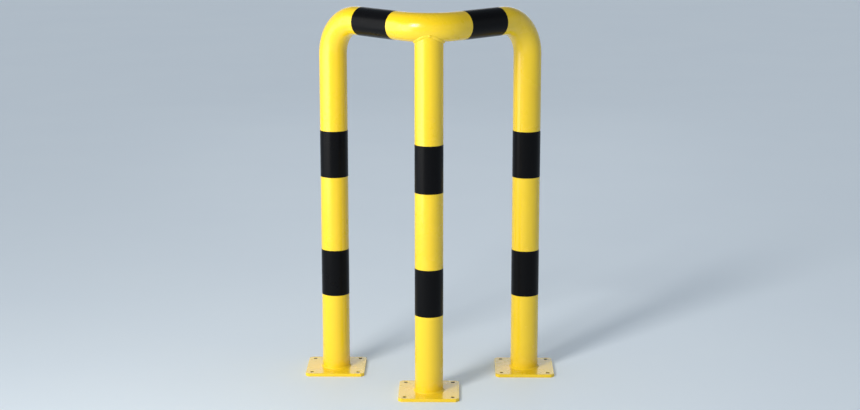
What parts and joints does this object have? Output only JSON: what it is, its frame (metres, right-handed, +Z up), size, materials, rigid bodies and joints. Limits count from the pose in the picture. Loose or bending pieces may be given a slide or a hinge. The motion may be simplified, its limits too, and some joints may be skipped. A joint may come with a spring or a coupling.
{
  "type": "corner protection guard",
  "caption": "Floor-mounted steel tube guard for an outside corner: two legs and a corner post joined by level arms at a right angle, yellow with black warning bands.",
  "frame": {"origin": "axis of the corner post at floor level, on the underside of its base plate", "axes": "+Z up; the guarded corner points to -Y and the protected space lies on the +Y side; the guard is symmetric about the YZ plane, with one leg on each side of it along X"},
  "size_m": [0.8068, 0.445, 1.2003],
  "materials": {
    "yellow_powder_coat": "glossy powder coat on steel",
    "black_warning_film": "satin self-adhesive vinyl film"
  },
  "bodies": {
    "root": {"left_leg_tube": "yellow_powder_coat", "right_leg_tube": "yellow_powder_coat", "corner_post_tube": "yellow_powder_coat", "left_elbow": "yellow_powder_coat", "right_elbow": "yellow_powder_coat", "corner_elbow": "yellow_powder_coat", "left_arm_tube": "yellow_powder_coat", "right_arm_tube": "yellow_powder_coat", "left_leg_base_plate": "yellow_powder_coat", "right_leg_base_plate": "yellow_powder_coat", "corner_post_base_plate": "yellow_powder_coat", "left_leg_base_weld": "yellow_powder_coat", "right_leg_base_weld": "yellow_powder_coat", "corner_post_base_weld": "yellow_powder_coat", "left_leg_butt_weld": "yellow_powder_coat", "right_leg_butt_weld": "yellow_powder_coat", "left_arm_outer_butt_weld": "yellow_powder_coat", "right_arm_outer_butt_weld": "yellow_powder_coat", "left_arm_inner_butt_weld": "yellow_powder_coat", "right_arm_inner_butt_weld": "yellow_powder_coat", "corner_saddle_weld": "yellow_powder_coat", "left_leg_lower_band": "black_warning_film", "left_leg_upper_band": "black_warning_film", "right_leg_lower_band": "black_warning_film", "right_leg_upper_band": "black_warning_film", "corner_post_lower_band": "black_warning_film", "corner_post_upper_band": "black_warning_film", "left_arm_band": "black_warning_film", "right_arm_band": "black_warning_film"}
  },
  "joints": []
}
